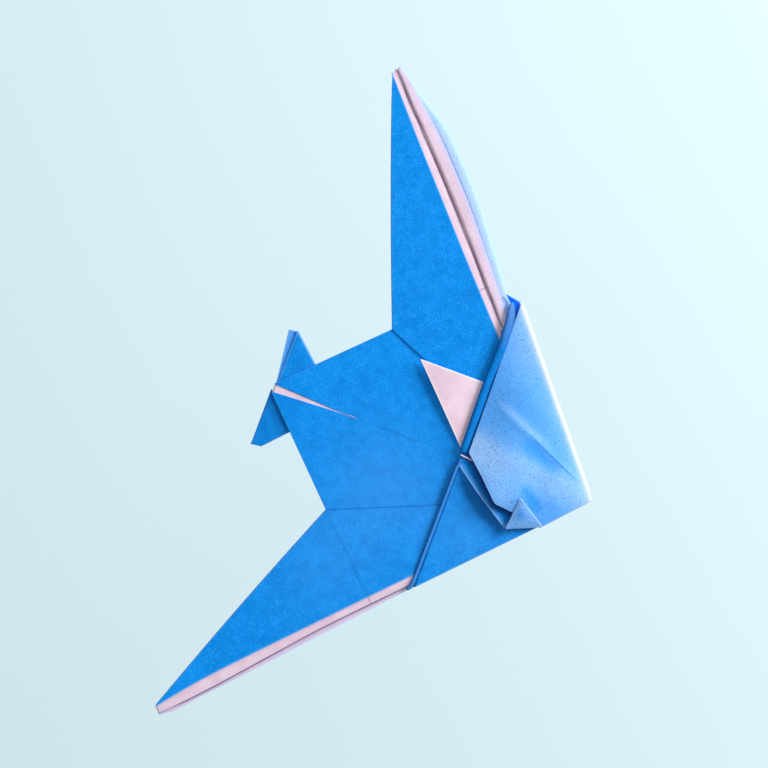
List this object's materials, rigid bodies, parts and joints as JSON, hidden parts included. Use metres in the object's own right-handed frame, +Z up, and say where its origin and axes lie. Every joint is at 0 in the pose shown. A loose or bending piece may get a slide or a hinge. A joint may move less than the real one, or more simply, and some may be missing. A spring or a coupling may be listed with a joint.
{
  "type": "paper airplane",
  "caption": "Swept-wing plane folded from one square of two-tone paper, with a pocketed nose, a raised nose flap, a lock tab and tail fins.",
  "frame": {"origin": "on the flat underside of the belly, on the centreline, halfway from tail point to nose point", "axes": "+X to the nose, +Y to the port wing tip, +Z up"},
  "size_m": [0.0751, 0.1497, 0.0056],
  "materials": {
    "blue_side": "matte",
    "plain_side": "matte"
  },
  "bodies": {
    "root": {"back_port": "blue_side", "back_starboard": "blue_side", "belly": "blue_side", "fin_root_port": "blue_side", "fin_root_starboard": "blue_side", "lining_port": "plain_side", "lining_starboard": "plain_side", "lock_tab_root": "plain_side", "nose_cover_port": "blue_side", "nose_cover_starboard": "blue_side", "nose_fold_port": "blue_side", "nose_lining": "plain_side", "pocket_hem": "blue_side", "pocket_roll": "blue_side", "wing_root_lining_port": "plain_side", "wing_root_lining_starboard": "plain_side", "wing_root_lip_port": "blue_side", "wing_root_pleat_port": "plain_side", "wing_root_pleat_starboard": "plain_side", "wing_root_top_port": "blue_side", "wing_root_top_starboard": "blue_side", "wing_root_under_port": "blue_side", "wing_root_under_starboard": "blue_side"},
    "wing_port": {"wing_lining_port": "plain_side", "wing_lip_port": "blue_side", "wing_pleat_port": "plain_side", "wing_top_port": "blue_side", "wing_under_port": "blue_side"},
    "wing_starboard": {"wing_lining_starboard": "plain_side", "wing_pleat_starboard": "plain_side", "wing_top_starboard": "blue_side", "wing_under_starboard": "blue_side"},
    "fin_port": {"fin_edge_port": "blue_side", "fin_leaf_port": "blue_side"},
    "fin_starboard": {"fin_edge_starboard": "blue_side", "fin_leaf_starboard": "blue_side"},
    "nose_flap": {"nose_flap": "blue_side"},
    "nose_corner": {"nose_corner": "blue_side"},
    "lock_tab": {"lock_tab": "plain_side"}
  },
  "joints": [
    {"name": "wing_port_bend", "type": "hinge", "parent": "root", "child": "wing_port", "pos_m": [-0.0168, 0.0211, 0.00109], "axis": [0.7156, 0.6985, 0], "range_deg": [-20, 60]},
    {"name": "wing_starboard_bend", "type": "hinge", "parent": "root", "child": "wing_starboard", "pos_m": [-0.0168, -0.0211, 0.00109], "axis": [-0.7156, 0.6985, 0], "range_deg": [-20, 60]},
    {"name": "fin_port_bend", "type": "hinge", "parent": "root", "child": "fin_port", "pos_m": [-0.03605, 0.00131, 0.00057], "axis": [0.6915, 0.7223, 0], "range_deg": [-60, 90]},
    {"name": "fin_starboard_bend", "type": "hinge", "parent": "root", "child": "fin_starboard", "pos_m": [-0.03605, -0.00131, 0.00057], "axis": [-0.6915, 0.7223, 0], "range_deg": [-60, 90]},
    {"name": "nose_flap_lift", "type": "hinge", "parent": "root", "child": "nose_flap", "pos_m": [0.0069, 0.03701, 0.00195], "axis": [-0.6379, 0.7701, 0], "range_deg": [0, 100]},
    {"name": "nose_corner_fold", "type": "hinge", "parent": "nose_flap", "child": "nose_corner", "pos_m": [0.02195, -0.01096, 0.00261], "axis": [0.891, 0.4539, -0.0006], "range_deg": [0, 165]},
    {"name": "lock_tab_lift", "type": "hinge", "parent": "root", "child": "lock_tab", "pos_m": [0.00555, 0.0026, 0.00135], "axis": [0, 1, 0], "range_deg": [0, 75]}
  ]
}
